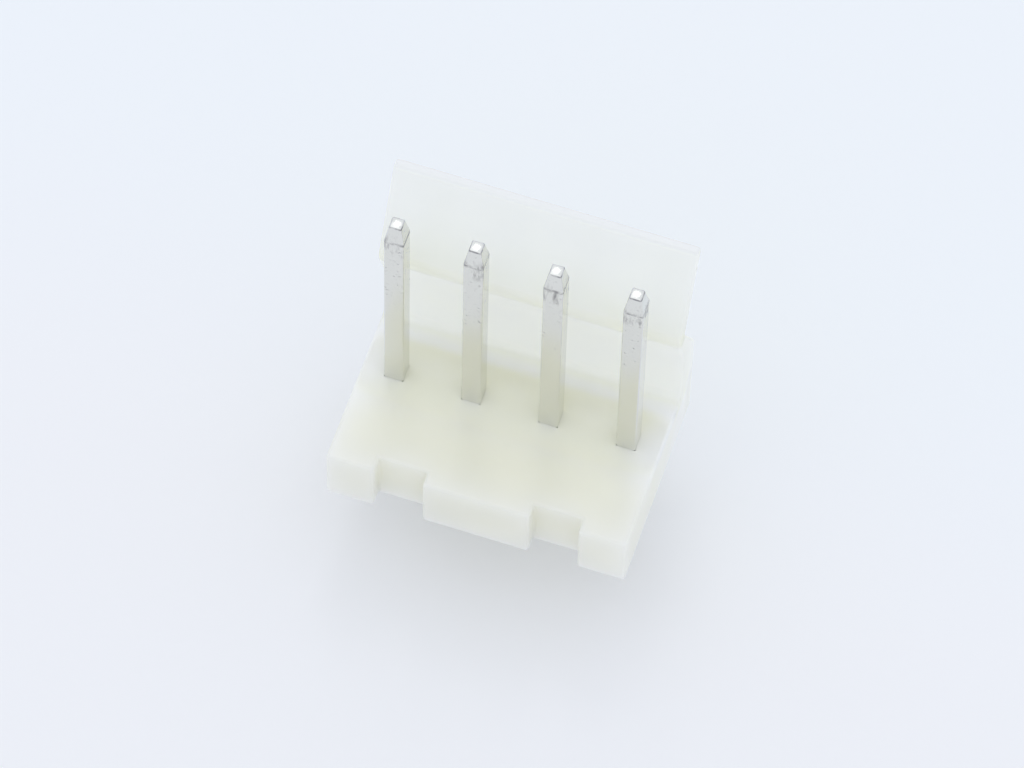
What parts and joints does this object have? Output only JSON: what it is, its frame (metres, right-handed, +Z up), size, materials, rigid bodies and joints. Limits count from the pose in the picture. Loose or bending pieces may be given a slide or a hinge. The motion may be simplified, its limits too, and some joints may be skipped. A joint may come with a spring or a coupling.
{
  "type": "pin header",
  "caption": "Straight through-hole pin header with a row of square pins, a bent locking wall behind them and keying grooves in the front of its base.",
  "frame": {"origin": "middle of the pin row on the board plane, which is the underside of the base", "axes": "+X along the pin row, +Y from the pins towards the locking wall, +Z up along the pins and away from the board"},
  "size_m": [0.0098, 0.0068, 0.0146],
  "materials": {
    "natural_nylon": "injection-moulded natural nylon, slightly translucent ivory with a satin surface",
    "tinned_brass": "drawn square brass wire with bright tin plating"
  },
  "bodies": {
    "root": {"housing": "natural_nylon", "pin_1": "tinned_brass", "pin_2": "tinned_brass", "pin_3": "tinned_brass", "pin_4": "tinned_brass"}
  },
  "joints": []
}
